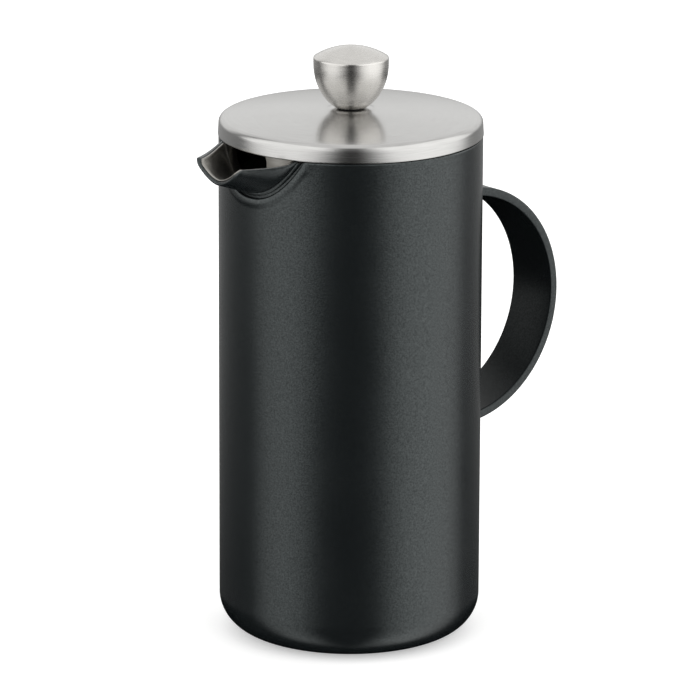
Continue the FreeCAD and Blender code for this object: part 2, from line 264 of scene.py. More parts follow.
shell_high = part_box("outer_shell")[1]
SHELL_R = shell_high.y
RIM_Z = shell_high.z
PLAIN_TOP = 170.0 * MM
SHELL_CORNER_R = 14.5 * MM
FOOT_R = 34.0 * MM
SHEET = 0.8 * MM
CUT_HALF = radians(29.0)
CUT_BOTTOM = RIM_Z - 17.4 * MM
CUT_POWER = 2.3
BORDER_R = 1.0 * MM


def arc(centre_r, centre_z, radius, start, end, count):
    """Profile points on an arc. Angles run from straight out, upwards."""
    steps = [start + (end - start) * k / count for k in range(count + 1)]
    return [(centre_r + radius * cos(a), centre_z + radius * sin(a)) for a in steps]


def smooth(mesh, sharp=radians(40)):
    """Smooth shading with a crease wherever faces meet more sharply than that."""
    mesh.shade_smooth()
    mesh.set_sharp_from_angle(angle=sharp)


def finished(name, mesh_data, material, body, slot, *nodes):
    """Turns vertices and faces into a piece that rides on its body and stands for its CAD nodes."""
    points, faces = mesh_data
    mesh = bpy.data.meshes.new(name)
    mesh.from_pydata([tuple(p) for p in points], [], faces)
    shape = bmesh.new()
    shape.from_mesh(mesh)
    bmesh.ops.remove_doubles(shape, verts=shape.verts, dist=1e-7)
    bmesh.ops.recalc_face_normals(shape, faces=shape.faces)
    shape.to_mesh(mesh)
    shape.free()
    smooth(mesh)
    mesh.materials.append(material)
    piece = link(name, mesh)
    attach(piece, body)
    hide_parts(*nodes)
    return piece


def grid_faces(rows, columns, rows_wrap, columns_wrap):
    """Quads over a grid of points stored row by row."""
    faces = []
    for i in range(rows if rows_wrap else rows - 1):
        for j in range(columns if columns_wrap else columns - 1):
            below, above = i * columns, (i + 1) % rows * columns
            right = (j + 1) % columns
            faces.append((below + j, below + right, above + right, above + j))
    return faces


def turned(profile, closed=True, count=180):
    """A lathe-turned shape from profile points (radius, height). A closed profile is a ring."""
    points = []
    for r, z in profile:
        points += [(r * cos(2 * pi * k / count), r * sin(2 * pi * k / count), z) for k in range(count)]
    return points, grid_faces(len(profile), count, closed, True)


def cut_z(angle, inset=0.0):
    """The cut-out's edge at an angle from the spout's middle. Inset moves it towards the spout."""
    half = CUT_HALF - 1.2 * inset / SHELL_R
    bottom = CUT_BOTTOM + inset
    share = min(1.0, abs(angle) / half)
    return bottom + (RIM_Z - bottom) * share**CUT_POWER


def border_distance(angle, z):
    """How far a point of the wall lies outside the cut-out, up to 12 mm."""
    near, far = 0.0, 12 * MM
    if cut_z(angle, -far) > z:
        return far
    for _ in range(22):
        middle = (near + far) / 2
        inside = cut_z(angle, -middle) > z or abs(angle) > CUT_HALF + 1.2 * middle / SHELL_R
        near, far = (middle, far) if inside else (near, middle)
    return near


def border_rise(distance):
    """The wall's height round the cut-out: turned in at the edge, then a soft ridge that dies away."""
    rise = 0.14 * MM * sin(pi * min(1.0, distance / (4.2 * MM))) ** 2
    turn_in = max(0.0, 1 - distance / BORDER_R)
    return rise - BORDER_R * 0.55 * (1 - sqrt(1 - turn_in**2))


def shell_mesh():
    """The wall as columns: each rises over the rounded base to the rim or the cut-out, and back inside."""
    wide = [radians(30 + 2 * k) for k in range(151)]
    fine = [radians(-30 + 0.4 * k) for k in range(1, 150)]
    angles = wide + fine
    corner = SHELL_R - SHELL_CORNER_R
    base = [(FOOT_R, SHEET), (FOOT_R, 0.0), (FOOT_R + 0.4 * MM, 0.0), (corner - 0.6 * MM, 0.0)]
    base += arc(corner, SHELL_CORNER_R, SHELL_CORNER_R, -pi / 2, 0, 20)
    base += [(SHELL_R, SHELL_CORNER_R + 1 * MM), (SHELL_R, PLAIN_TOP)]
    drops = [9 * MM - 0.3 * MM * k for k in range(27)]
    drops += [drop * MM for drop in (0.9, 0.6, 0.4, 0.2, 0.08, 0.0)]
    inner = SHELL_R - SHEET
    back = [(inner, SHELL_CORNER_R + 1 * MM)]
    back += arc(corner, SHELL_CORNER_R, SHELL_CORNER_R - SHEET, 0, -pi / 2, 10)
    points = []
    for row_r, row_z in base:
        points += [(-row_r * cos(a), row_r * sin(a), row_z) for a in angles]
    for drop in drops:
        for a in angles:
            turn = (a + pi) % (2 * pi) - pi
            z = cut_z(turn) - drop
            r = SHELL_R + border_rise(border_distance(turn, z))
            if drop < 0.3 * MM:
                r -= (0.3 * MM - drop) * 0.6
            points.append((-r * cos(a), r * sin(a), z))
    points += [(-inner * cos(a), inner * sin(a), cut_z((a + pi) % (2 * pi) - pi)) for a in angles]
    for row_r, row_z in back:
        points += [(-row_r * cos(a), row_r * sin(a), row_z) for a in angles]
    return points, grid_faces(len(base) + len(drops) + 1 + len(back), len(angles), True, True)


COAT_GRAIN = 1500
COAT_CLOUD = 24
COAT_RELIEF = 0.05 * MM


def powder_coat(name, low, high, roughness, ior=1.60):
    """Baked powder: near-black, satin, with a grain under a millimetre and a faint cloudiness."""
    material, shader, place = new_material(name, 0.0, roughness, ior)
    grain = noise_of(material, place, COAT_GRAIN, 3.0)
    cloud = noise_of(material, place, COAT_CLOUD, 2.0)
    wire(material, blend_of(material, grain, low, high), shader.inputs["Base Color"])
    wire(material, range_of(material, cloud, roughness - 0.03, roughness + 0.03), shader.inputs["Roughness"])
    wire(material, range_of(material, grain, 0.29, 0.73), shader.inputs["Specular IOR Level"])
    shader.inputs["Specular Tint"].default_value = (0.91, 1.0, 1.0, 1)
    raise_by(material, shader, grain, COAT_RELIEF, 0.5)
    return material


COAT_COLOURS = ((0.0036, 0.0046, 0.0050), (0.0060, 0.0076, 0.0082))
COAT = powder_coat("black_powder_coat", *COAT_COLOURS, 0.23)
finished("pot_shell", shell_mesh(), COAT, "pot", "powder_coat", "outer_shell")


# The base cap: a pressed steel disc welded into the ring that the pot stands on, dished so that only
# the ring touches. The vent in its middle is closed with a moulded plug.

CAP_RISE = 2.4 * MM
VENT_R = 2.0 * MM


def base_cap_profile():
    """The disc from its vent out to the ring: raised flat, down a short slope, flat again."""
    flat, dish = FOOT_R - 2.0 * MM, FOOT_R - 5.0 * MM
    low = [(VENT_R, CAP_RISE), (dish - 1 * MM, CAP_RISE), (dish, CAP_RISE - 0.15 * MM),
           (flat - 0.5 * MM, 0.3 * MM), (flat + 0.3 * MM, 0.1 * MM), (FOOT_R, 0.1 * MM)]
    return low + [(r, z + SHEET * 0.85) for r, z in reversed(low)]


BASE_COAT = powder_coat("base_powder_coat", (0.010, 0.011, 0.012), (0.017, 0.018, 0.019), 0.52)
finished("bottom_disc", turned(base_cap_profile(), True, 120), BASE_COAT, "pot", "base_coat", "base_cap")


def moulded_black(name, roughness):
    """Moulded black plastic with the fine spark-eroded texture of its mould."""
    material, shader, place = new_material(name, 0.0, roughness, 1.46)
    grain = noise_of(material, place, 2600, 2.0)
    colour = blend_of(material, grain, (0.012, 0.012, 0.013), (0.020, 0.020, 0.021))
    wire(material, colour, shader.inputs["Base Color"])
    wire(material, range_of(material, grain, roughness - 0.05, roughness + 0.05), shader.inputs["Roughness"])
    raise_by(material, shader, grain, 0.03 * MM, 0.5)
    return material


plug_low, plug_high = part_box("vent_plug")
PLUG_R = plug_high.x


def plug_profile():
    """The button's rounded head under the cap, and its shank through the vent."""
    low, high = plug_low.z, plug_high.z
    head = [(0, low), (PLUG_R * 0.75, low), (PLUG_R * 0.95, low + 0.15 * MM), (PLUG_R, low + 0.4 * MM)]
    shank = [(PLUG_R, CAP_RISE), (VENT_R, CAP_RISE), (VENT_R, high - 0.3 * MM)]
    return head + shank + [(VENT_R - 0.4 * MM, high), (0, high)]


NYLON = moulded_black("black_nylon", 0.5)
finished("vent_button", turned(plug_profile(), False, 48), NYLON, "pot", "bush_plastic", "vent_plug")


# The inner vessel: spun stainless steel, satin inside, its lip rolled out over the shell's rim and
# welded there. Its rim is cut for the spout like the shell's.

LINER_R = 47.0 * MM
LINER_FLOOR = 9.0 * MM
LINER_CORNER = 9.0 * MM
LINER_PLAIN = 20.0 * MM
LINER_LIP = 2.0 * MM


def liner_mesh():
    """Columns from the floor's middle up the wall, over the rolled lip, and back down outside."""
    wide = [radians(30 + 2.5 * k) for k in range(121)]
    fine = [radians(-30 + 1.0 * k) for k in range(1, 60)]
    angles = wide + fine
    corner = LINER_R - LINER_CORNER
    inside = [(1 * MM, LINER_FLOOR), (corner - 1 * MM, LINER_FLOOR)]
    inside += arc(corner, LINER_FLOOR + LINER_CORNER, LINER_CORNER, -pi / 2, 0, 12)
    inside += [(LINER_R, LINER_PLAIN), (LINER_R, PLAIN_TOP)]
    lip = [(r, z - RIM_Z) for r, z in arc(LINER_R + LINER_LIP, RIM_Z - LINER_LIP, LINER_LIP, pi, pi / 2, 8)]
    lip += [(SHELL_R - SHEET, 0.0), (SHELL_R - SHEET, -SHEET), (LINER_R + LINER_LIP, -SHEET),
            (LINER_R + SHEET, -LINER_LIP)]
    outside = [(LINER_R + SHEET, PLAIN_TOP), (LINER_R + SHEET, LINER_PLAIN)]
    outside += arc(corner, LINER_FLOOR + LINER_CORNER, LINER_CORNER + SHEET, 0, -pi / 2, 12)
    outside += [(1 * MM, LINER_FLOOR - SHEET)]
    points = []
    for row_r, row_z in inside:
        points += [(-row_r * cos(a), row_r * sin(a), row_z) for a in angles]
    wall = LINER_R + SHEET
    for row_r, fall in lip:
        for a in angles:
            turn = (a + pi) % (2 * pi) - pi
            spread = min(1.0, max(0.0, (abs(turn) - radians(27)) / radians(3)))
            r = min(row_r, wall) + max(0.0, row_r - wall) * spread
            points.append((-r * cos(a), r * sin(a), cut_z(turn, 2.6 * MM) + fall))
    for row_r, row_z in outside:
        points += [(-row_r * cos(a), row_r * sin(a), row_z) for a in angles]
    rows = len(inside) + len(lip) + len(outside)
    faces = grid_faces(rows, len(angles), False, True)
    last = (rows - 1) * len(angles)
    faces.append(tuple(range(len(angles))))
    faces.append(tuple(last + k for k in range(len(angles))))
    return points, faces


def vector_math(material, operation, vector, *others):
    """The result of a vector node. The others are fixed triples, or outputs to wire in."""
    made = node_of(material, "ShaderNodeVectorMath")
    made.operation = operation
    wire(material, vector, made.inputs[0])
    for entry, other in zip(list(made.inputs)[1:], others):
        if isinstance(other, tuple):
            entry.default_value = other
        else:
            wire(material, other, entry)
    return made.outputs["Value" if operation == "LENGTH" else "Vector"]


def number_math(material, operation, first, second):
    """The result of a number node, for two outputs, or an output and a fixed number."""
    made = node_of(material, "ShaderNodeMath")
    made.operation = operation
    wire(material, first, made.inputs[0])
    if isinstance(second, float):
        made.inputs[1].default_value = second
    else:
        wire(material, second, made.inputs[1])
    return made.outputs["Value"]


def round_the_axis(material, place, streak, pitch):
    """Draws a pattern out round the axis, on walls and flats alike: long by the streak, fine by the pitch."""
    flat = vector_math(material, "MULTIPLY", place, (1, 1, 0))
    way = vector_math(material, "NORMALIZE", flat)
    height = node_of(material, "ShaderNodeSeparateXYZ")
    wire(material, place, height.inputs[0])
    path = number_math(material, "ADD", vector_math(material, "LENGTH", flat), height.outputs["Z"])
    rings = node_of(material, "ShaderNodeCombineXYZ")
    wire(material, path, rings.inputs["Z"])
    spread = vector_math(material, "MULTIPLY", way, (streak,) * 3)
    return vector_math(material, "MULTIPLY_ADD", rings.outputs["Vector"], (pitch,) * 3, spread)


def brush(material, shader, anisotropic):
    """Draws the highlights out across scratches that run round the axis."""
    tangent = node_of(material, "ShaderNodeTangent")
    tangent.direction_type = "RADIAL"
    tangent.axis = "Z"
    wire(material, tangent.outputs["Tangent"], shader.inputs["Tangent"])
    shader.inputs["Anisotropic"].default_value = anisotropic
    shader.inputs["Anisotropic Rotation"].default_value = 0.25


SCRATCH_DEPTH = 0.012 * MM
STEEL_CLOUD = 60


def steel(name, low, high, roughness, scratches, anisotropic=0.0):
    """Stainless steel with fine scratches: round the axis (streak, pitch), or by a stretch along X, Y, Z."""
    material, shader, place = new_material(name, 1.0, roughness)
    if len(scratches) == 2:
        drawn = round_the_axis(material, place, *scratches)
    else:
        drawn = vector_math(material, "MULTIPLY", place, scratches)
    grain = noise_of(material, drawn, 1.0, 4.0)
    cloud = noise_of(material, place, STEEL_CLOUD, 2.0)
    wire(material, blend_of(material, grain, low, high), shader.inputs["Base Color"])
    cloudy = number_math(material, "MULTIPLY", cloud, 0.35)
    uneven = number_math(material, "ADD", cloudy, number_math(material, "MULTIPLY", grain, 0.65))
    wire(material, range_of(material, uneven, roughness - 0.05, roughness + 0.06), shader.inputs["Roughness"])
    raise_by(material, shader, grain, SCRATCH_DEPTH, 0.6)
    if anisotropic:
        brush(material, shader, anisotropic)
    return material


LINER_STEEL = steel("spun_liner_steel", (0.50, 0.49, 0.46), (0.60, 0.59, 0.56), 0.30, (3, 2600))
finished("inner_vessel", liner_mesh(), LINER_STEEL, "pot", "liner_steel", "inner_liner")


# The spout: a pressed trough of coated steel, flared at its root and let into the shell's cut-out with
# a narrow groove round it. A bare steel lining runs through it and shows as a bright line at its edges.

LIP_X = 67.9 * MM
LIP_HALF = 14.1 * MM
LIP_TOP = 199.1 * MM
LIP_BOTTOM = 191.1 * MM
LIP_POWER = 1.8
LIP_RAKE = 0.03
LIP_CORNER = 1.2 * MM
EDGE_SAG = 1.1 * MM
GROOVE = 1.0 * MM
FLANGE = 1.1 * MM
COATED = 1.6 * MM
LIP_BEAD = 0.7 * MM
LINING = 0.7 * MM
ROOT_SINK = 0.7 * MM
ACROSS = 48
ALONG = 26


def on_wall(share, inset, radius):
    """A point on the cut-out's edge, moved in by an inset, at a radius. Share runs from -1 to 1 across."""
    half = CUT_HALF - 1.2 * inset / SHELL_R
    angle = share * half
    return Vector((-radius * cos(angle), radius * sin(angle), cut_z(angle, inset)))


def on_lip(share, depth):
    """A point on the lip's edge, that deep inside the outer surface."""
    bottom, half = LIP_BOTTOM + depth, LIP_HALF - 1.27 * depth
    z = bottom + (LIP_TOP - bottom) * abs(share) ** LIP_POWER
    corner = max(0.0, abs(share) - 0.8) / 0.2
    back = LIP_BEAD if depth < COATED else 1.2 * MM
    return Vector((-LIP_X + back + LIP_RAKE * (LIP_TOP - z) + LIP_CORNER * corner**2, half * share, z))


def trough_point(share, t, depth):
    """A point of the trough: t runs from the wall to the lip, depth from the outer surface inwards."""
    root_r = SHELL_R - depth * 0.4
    root = on_wall(share, GROOVE + FLANGE + depth, root_r)
    lip = on_lip(share, depth)
    out = Vector((root.x, root.y, 0)).normalized()
    reach = (lip - root).length
    first = root + out * (2.2 * MM + depth * 0.3)
    last = lip - (lip - root).normalized() * reach * 0.55
    a, b = 1 - t, t
    sag = Vector((0, 0, EDGE_SAG * 4 * a * b * abs(share) ** 3))
    return root * a**3 + first * (3 * a * a * b) + last * (3 * a * b * b) + lip * b**3 - sag


def sunk(share):
    """How far the tucked-in root drops at its two ends, to stay below the rim."""
    return Vector((0, 0, ROOT_SINK * abs(share) ** 8))


def edge_steps():
    """Places round a sheet's edge: how far from its outer to its inner face, and how far it bulges."""
    return [(0.04, 0.45), (0.16, 0.85), (0.5, 1.0), (0.84, 0.85), (0.96, 0.45)]


def trough_section(outer, inner, bead):
    """A closed loop round the trough's sheet from its outer and inner points, with edges that round."""
    loop = list(outer)
    for end, start, side in ((outer[-1], inner[-1], outer[-2]), (inner[0], outer[0], inner[1])):
        lift = (end - side).normalized() * bead
        loop += [end.lerp(start, go) + lift * bulge for go, bulge in edge_steps()]
        if end is outer[-1]:
            loop += list(reversed(inner))
    return loop


def trough_mesh(depth_out, depth_in, root_tuck, bead):
    """The trough's sheet between two depths, from its root to its rounded lip."""
    shares = [k / (ACROSS / 2) - 1 for k in range(ACROSS + 1)]
    steps = [(k / ALONG) ** 1.6 for k in range(ALONG + 1)]
    sections = []
    for inset, radius in root_tuck:
        outer = [on_wall(u, inset, radius) - sunk(u) for u in shares]
        inner = [on_wall(u, inset + 0.2 * MM, radius - (depth_in - depth_out)) - sunk(u) for u in shares]
        sections.append(trough_section(outer, inner, bead * 0.3))
    for t in steps:
        outer = [trough_point(u, t, depth_out) for u in shares]
        inner = [trough_point(u, t, depth_in) for u in shares]
        sections.append(trough_section(outer, inner, bead * min(1.0, 0.3 + t)))
    lip_out = [on_lip(u, depth_out) for u in shares]
    lip_in = [on_lip(u, depth_in) for u in shares]
    for turn in (18, 36, 54, 72, 84):
        pinch, lift = (1 - cos(radians(turn))) / 2, Vector((-bead * sin(radians(turn)), 0, 0))
        sections.append(trough_section([o.lerp(i, pinch) + lift for o, i in zip(lip_out, lip_in)],
                                       [i.lerp(o, pinch) + lift for o, i in zip(lip_out, lip_in)],
                                       bead * cos(radians(turn))))
    count = len(sections[0])
    points = [p for section in sections for p in section]
    faces = grid_faces(len(sections), count, False, True)
    half = len(shares)
    for row in (0, len(sections) - 1):
        start = row * count
        inner_start = start + half + len(edge_steps())
        for k in range(half - 1):
            faces.append((start + k, start + k + 1, inner_start + half - 2 - k, inner_start + half - 1 - k))
        right = [start + half - 1 + k for k in range(len(edge_steps()) + 2)]
        left = [inner_start + half - 1 + k for k in range(len(edge_steps()) + 1)] + [start]
        faces += [tuple(right), tuple(left)]
    return points, faces


SPOUT_TUCK = [(-0.4 * MM, SHELL_R - 1.3 * MM), (GROOVE - 0.1 * MM, SHELL_R - 1.3 * MM),
              (GROOVE, SHELL_R - 0.5 * MM), (GROOVE + 0.1 * MM, SHELL_R - 0.15 * MM),
              (GROOVE + 0.35 * MM, SHELL_R), (GROOVE + 0.8 * MM, SHELL_R + 0.02 * MM)]
spout_mesh = trough_mesh(0.0, COATED, SPOUT_TUCK, LIP_BEAD)
finished("spout_trough", spout_mesh, COAT, "pot", "powder_coat", "spout_shell")

LINING_BEAD = 0.25 * MM
LINING_TUCK = [(GROOVE + COATED, LINER_R + LINING), (GROOVE + COATED + 0.3 * MM, LINER_R + 1.5 * MM)]
BRUSHED = (240, 2600, 2600)
# The lining's steel is coloured darker than the inner vessel's: painted shade for the inside of the trough.
SHADED_SPOUT_STEEL = steel("brushed_spout_steel_painted_shade", (0.29, 0.28, 0.26), (0.39, 0.38, 0.355), 0.32, BRUSHED)
lining_mesh = trough_mesh(COATED, COATED + LINING, LINING_TUCK, LINING_BEAD)
finished("spout_lining", lining_mesh, SHADED_SPOUT_STEEL, "pot", "spout_steel", "spout_liner")


# The handle: a flat steel strip rolled to half a ring, its long edges broken, welded end-on to the
# shell and coated with it. Its coat shines less than the pot's, and least inside the bend: painted shade for
# the light that the pot hides from it.

HANDLE_Z = 125.0 * MM
HANDLE_MID_R = 46.8 * MM
STRIP_HALF_T = 1.8 * MM
STRIP_HALF_W = 11.5 * MM
STRIP_EDGE_R = 0.6 * MM


def strip_section():
    """The strip's rounded rectangle, as places across and through it."""
    loop = []
    for quarter, (side, through) in enumerate(((1, 1), (-1, 1), (-1, -1), (1, -1))):
        centre = (side * (STRIP_HALF_W - STRIP_EDGE_R), through * (STRIP_HALF_T - STRIP_EDGE_R))
        corner = arc(*centre, STRIP_EDGE_R, quarter * pi / 2, (quarter + 1) * pi / 2, 5)
        loop += corner
    return loop


def handle_mesh():
    """The strip swept round its half ring, its ends let a little into the shell."""
    section = strip_section()
    steps = 72
    reach = pi / 2 + radians(2.4)
    points = []
    for k in range(steps + 1):
        a = -reach + 2 * reach * k / steps
        for across, through in section:
            r = HANDLE_MID_R + through
            points.append((SHELL_R + r * cos(a), across, HANDLE_Z + r * sin(a)))
    faces = grid_faces(steps + 1, len(section), False, True)
    faces.append(tuple(range(len(section))))
    faces.append(tuple(steps * len(section) + k for k in range(len(section))))
    return points, faces


# How much shine the strip's inner face keeps: painted shade where the pot hides the light.
INNER_SHADE_SHARE = 0.24


def strap_coat():
    """The black coat, dimmer than the pot's, with least shine on the strip's inner face: painted shade for
    the light that the pot hides.
    """
    material = powder_coat("handle_coat_painted_shade", *COAT_COLOURS, 0.27, 1.49)
    shader = material.node_tree.nodes["Principled BSDF"]
    shine = shader.inputs["Specular IOR Level"]
    grain = shine.links[0].from_socket
    place = node_of(material, "ShaderNodeTexCoord").outputs["Object"]
    from_middle = vector_math(material, "MULTIPLY_ADD", place, (1, 0, 1), (-SHELL_R, 0, -HANDLE_Z))
    inner = HANDLE_MID_R - STRIP_HALF_T
    # The inner face's shine, cut down as painted shade.
    inner_shade = node_of(material, "ShaderNodeMapRange", From_Min=inner + 0.1 * MM, From_Max=inner + 0.6 * MM,
                   To_Min=INNER_SHADE_SHARE, To_Max=1.0)
    wire(material, vector_math(material, "LENGTH", from_middle), inner_shade.inputs["Value"])
    wire(material, number_math(material, "MULTIPLY", grain, inner_shade.outputs["Result"]), shine)
    return material


finished("strap_handle", handle_mesh(), strap_coat(), "pot", "powder_coat", "handle")


# The lid: pressed stainless steel, a low dome with a flat boss in the middle, a rounded edge and a
# short skirt that sits over the rim. It is brushed in circles.

lid_low, lid_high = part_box("lid_cap")
LID_R = lid_high.x
LID_BOTTOM = lid_low.z
LID_CROWN = 211.9 * MM
LID_DOME_R = 428.0 * MM
LID_EDGE_R = 2.4 * MM
SKIRT_DRAFT = 0.25 * MM
BOSS_Z = lid_high.z
BOSS_R = 8.6 * MM
LID_HOLE_R = 4.6 * MM


def dome_z(r):
    """The height of the lid's dome at a distance from its middle."""
    return LID_CROWN - LID_DOME_R + sqrt(LID_DOME_R**2 - r * r)


def lid_outline(depth):
    """The lid's outer surface from the middle to the skirt's edge, that deep inside."""
    outline = [(LID_HOLE_R, BOSS_Z - depth), (BOSS_R - 0.5 * MM, BOSS_Z - depth)]
    outline += [(BOSS_R, BOSS_Z - 0.06 * MM - depth),
                (BOSS_R + 0.4 * MM, (BOSS_Z + dome_z(BOSS_R)) / 2 - depth),
                (BOSS_R + 0.9 * MM, dome_z(BOSS_R + 0.9 * MM) + 0.03 * MM - depth)]
    outline += [(r * MM, dome_z(r * MM) - depth) for r in range(11, 49, 3)]
    join = asin((LID_R - LID_EDGE_R) / (LID_DOME_R - LID_EDGE_R))
    centre_z = LID_CROWN - LID_DOME_R + (LID_DOME_R - LID_EDGE_R) * cos(join)
    outline += arc(LID_R - SKIRT_DRAFT - LID_EDGE_R, centre_z, LID_EDGE_R - depth, pi / 2 - join, 0.05, 10)
    outline.append((LID_R - SKIRT_DRAFT * 0.9 - depth, centre_z - 0.6 * MM))
    return outline


def lid_profile():
    """Both faces of the lid, joined by the skirt's rounded edge."""
    top, under = lid_outline(0.0), lid_outline(SHEET)
    edge = [(LID_R, LID_BOTTOM + 0.5 * MM)]
    edge += arc(LID_R - SHEET / 2, LID_BOTTOM + SHEET / 2, SHEET / 2, 0, -pi, 8)
    edge.append((LID_R - SHEET, LID_BOTTOM + 0.5 * MM))
    return top + edge + list(reversed(under))


LID_STEEL = steel("brushed_lid_steel", (0.49, 0.485, 0.475), (0.58, 0.575, 0.565), 0.21, (5, 3200), 0.35)
finished("lid", turned(lid_profile(), True, 240), LID_STEEL, "lid", "lid_steel", "lid_cap")


# The knob: turned from solid stainless steel, a bowl that narrows to its seat, a short straight edge
# and a low dome, satin-finished on the lathe.

knob_low, knob_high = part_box("knob")
KNOB_R = knob_high.x
KNOB_SEAT_R = 6.0 * MM
KNOB_EQUATOR = 230.0 * MM
KNOB_EDGE = 232.5 * MM
KNOB_BORE_TOP = 224.0 * MM
EDGE_BREAK = 0.25 * MM
RECESS_R = 5.4 * MM
RECESS_DEPTH = 0.5 * MM


def knob_profile():
    """The outside from the recess in its seat, up the bowl and the straight edge, over the dome."""
    depth = (KNOB_EQUATOR - knob_low.z) / sqrt(1 - (KNOB_SEAT_R / KNOB_R) ** 2)
    seat = -atan2(sqrt(1 - (KNOB_SEAT_R / KNOB_R) ** 2), KNOB_SEAT_R / KNOB_R)
    ceiling = knob_low.z + RECESS_DEPTH
    outline = [(RECESS_R, ceiling), (RECESS_R, knob_low.z + 0.08 * MM), (RECESS_R + 0.08 * MM, knob_low.z),
               (KNOB_SEAT_R - 0.1 * MM, knob_low.z + 0.02 * MM)]
    for k in range(1, 29):
        a = seat + (0 - seat) * k / 28
        outline.append((KNOB_R * cos(a), KNOB_EQUATOR + depth * sin(a)))
    rise = knob_high.z - KNOB_EDGE
    dome_r = (KNOB_R**2 + rise**2) / (2 * rise)
    outline += [(KNOB_R, KNOB_EDGE - 2 * EDGE_BREAK), (KNOB_R, KNOB_EDGE - EDGE_BREAK),
                (KNOB_R - 0.07 * MM, KNOB_EDGE - 0.07 * MM)]
    for k in range(15):
        r = (KNOB_R - EDGE_BREAK) * (1 - k / 14)
        outline.append((r, knob_high.z - dome_r + sqrt(dome_r**2 - r * r)))
    return outline


KNOB_STEEL = steel("satin_knob_steel", (0.60, 0.585, 0.56), (0.71, 0.695, 0.67), 0.26, (4, 3600), 0.85)
ROD_R = 2.5 * MM
KNOB_BORE = [(0, KNOB_BORE_TOP), (ROD_R, KNOB_BORE_TOP), (ROD_R, knob_low.z + RECESS_DEPTH)]
knob_mesh = turned(KNOB_BORE + knob_profile(), False, 144)
finished("knob_turning", knob_mesh, KNOB_STEEL, "plunger", "knob_steel", "knob")


# The lid's collar: a flanged steel ring spot-welded under the lid. It centres the lid in the pot, and
# has a window with rounded corners to pour through; the rest of it holds the grounds back.

collar_low, collar_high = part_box("lid_collar")
COLLAR_R = 46.3 * MM
COLLAR_BOTTOM = collar_low.z
COLLAR_BEND = 1.6 * MM
FLANGE_Z = 202.4 * MM
FLANGE_R = collar_high.x
WINDOW_BOTTOM, WINDOW_TOP = 188.5 * MM, 200.8 * MM
WINDOW_MIDDLE, WINDOW_HALF = radians(165), radians(20)
WINDOW_CORNER = 2.5 * MM


def window_rise(turn):
    """How far the window's rounded corners stand in from its straight edges, at a turn from its middle."""
    side = (WINDOW_HALF - abs(turn)) * COLLAR_R
    near = WINDOW_CORNER - max(0.0, min(WINDOW_CORNER, side))
    return WINDOW_CORNER - sqrt(WINDOW_CORNER**2 - near**2)


def collar_mesh():
    """Rings of points up the outer face, over the flange and down the inner one, less the window."""
    turns = [radians(k) for k in range(-20, 21)] + [radians(20 + 2 * k) for k in range(1, 160)]
    inner = COLLAR_R - SHEET
    bend_r, bend_z = COLLAR_R + COLLAR_BEND - SHEET, FLANGE_Z - COLLAR_BEND + SHEET
    outside = arc(bend_r, bend_z, COLLAR_BEND - SHEET, pi, pi / 2, 5) + [(FLANGE_R - 0.1 * MM, FLANGE_Z)]
    flange = [(FLANGE_R, FLANGE_Z + 0.1 * MM), (FLANGE_R, FLANGE_Z + SHEET - 0.1 * MM)]
    inside = [(FLANGE_R - 0.1 * MM, FLANGE_Z + SHEET)] + arc(bend_r, bend_z, COLLAR_BEND, pi / 2, pi, 7)
    low, high = WINDOW_BOTTOM, WINDOW_TOP
    rows = [(COLLAR_R, COLLAR_BOTTOM + 0.1 * MM, 0), (COLLAR_R, low, 1), (COLLAR_R, high, -1)]
    rows += [(r, z, 0) for r, z in outside + flange + inside]
    rows += [(inner, high, -1), (inner, low, 1), (inner, COLLAR_BOTTOM + 0.1 * MM, 0),
             (inner + 0.1 * MM, COLLAR_BOTTOM, 0), (COLLAR_R - 0.1 * MM, COLLAR_BOTTOM, 0)]
    points = []
    for r, z, side in rows:
        for turn in turns:
            a = WINDOW_MIDDLE + turn
            points.append((r * cos(a), r * sin(a), z + side * window_rise(turn)))
    count, last = len(turns), len(rows) - 5
    faces = []
    for face in grid_faces(len(rows), count, True, True):
        row, column = face[0] // count, face[0] % count
        if column >= 40 or row not in (1, last):
            faces.append(face)
    for k in range(40):
        for outer_row, inner_row in ((1, last + 1), (2, last)):
            faces.append((outer_row * count + k, outer_row * count + k + 1,
                          inner_row * count + k + 1, inner_row * count + k))
    for k in (0, 40):
        faces.append((count + k, 2 * count + k, last * count + k, (last + 1) * count + k))
    return points, faces


# The collar's steel is coloured darker than the liner's: painted shade for the inside of the pot under the
# lid.
SHADED_COLLAR_STEEL = steel("satin_collar_steel_painted_shade", (0.34, 0.33, 0.31), (0.44, 0.43, 0.41), 0.30, (3, 2600))
finished("lid_ring", collar_mesh(), SHADED_COLLAR_STEEL, "lid", "liner_steel", "lid_collar")


# The guide bush and its ring nut: moulded nylon. The bush is clamped through the lid's middle by the nut
# on its thread, and the rod slides in it.

bush_low, bush_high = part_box("rod_bush")
nut_low, nut_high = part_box("bush_retainer")
BUSH_R = 4.5 * MM
BUSH_BORE = 2.55 * MM
THREAD_DEPTH = 0.22 * MM


def thread(radius, start, end, pitch):
    """Profile points of a thread's ridges."""
    points = []
    for k in range(int((end - start) / pitch)):
        z = start + k * pitch
        points += [(radius - THREAD_DEPTH, z + pitch * 0.05), (radius, z + pitch * 0.45)]
        points.append((radius, z + pitch * 0.6))
    return points


